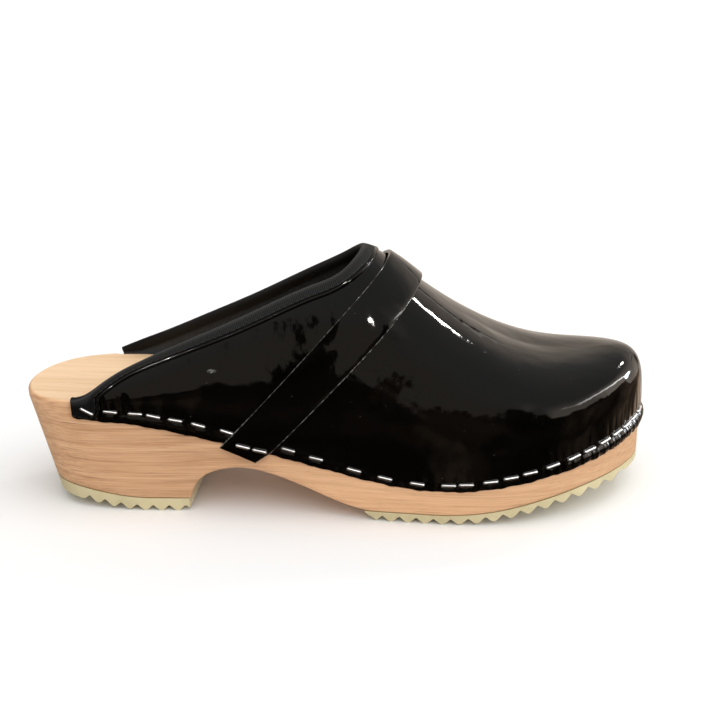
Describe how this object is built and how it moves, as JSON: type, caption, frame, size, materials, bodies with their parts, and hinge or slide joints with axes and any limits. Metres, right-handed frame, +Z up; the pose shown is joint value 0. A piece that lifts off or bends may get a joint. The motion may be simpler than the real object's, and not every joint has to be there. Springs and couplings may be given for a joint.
{
  "type": "clog",
  "caption": "Right-foot clog with an open back: carved wooden sole, glossy black leather upper stapled round its edge, slanted instep strap, bound collar and ribbed rubber treads.",
  "frame": {"origin": "on the floor, under the middle of the clog's length and width", "axes": "+X from heel to toe, +Y towards the inner side of the foot, +Z up"},
  "size_m": [0.2652, 0.1005, 0.1076],
  "materials": {
    "wood": "fine-grained pale wood, thinly sealed",
    "rubber": "matte ribbed rubber",
    "patent_leather": "black leather with a glossy lacquer",
    "binding": "thin matte black leather strip, stitched",
    "steel": "bright galvanised wire"
  },
  "bodies": {
    "root": {"wooden_sole": "wood", "heel_tread": "rubber", "forefoot_tread": "rubber", "upper": "patent_leather", "instep_strap": "patent_leather", "collar_binding": "binding", "staple_outer_01": "steel", "staple_outer_02": "steel", "staple_outer_03": "steel", "staple_outer_04": "steel", "staple_outer_05": "steel", "staple_outer_06": "steel", "staple_outer_07": "steel", "staple_outer_08": "steel", "staple_outer_09": "steel", "staple_outer_10": "steel", "staple_outer_11": "steel", "staple_outer_12": "steel", "staple_outer_13": "steel", "staple_outer_14": "steel", "staple_outer_15": "steel", "staple_outer_16": "steel", "staple_outer_17": "steel", "staple_outer_18": "steel", "staple_outer_19": "steel", "staple_outer_20": "steel", "staple_outer_21": "steel", "staple_outer_22": "steel", "staple_outer_23": "steel", "staple_outer_24": "steel", "staple_outer_25": "steel", "staple_inner_01": "steel", "staple_inner_02": "steel", "staple_inner_03": "steel", "staple_inner_04": "steel", "staple_inner_05": "steel", "staple_inner_06": "steel", "staple_inner_07": "steel", "staple_inner_08": "steel", "staple_inner_09": "steel", "staple_inner_10": "steel", "staple_inner_11": "steel", "staple_inner_12": "steel", "staple_inner_13": "steel", "staple_inner_14": "steel", "staple_inner_15": "steel", "staple_inner_16": "steel", "staple_inner_17": "steel", "staple_inner_18": "steel", "staple_inner_19": "steel", "staple_inner_20": "steel", "staple_inner_21": "steel", "staple_strap_outer_1": "steel", "staple_strap_outer_2": "steel", "staple_strap_inner_1": "steel", "staple_strap_inner_2": "steel"}
  },
  "joints": []
}
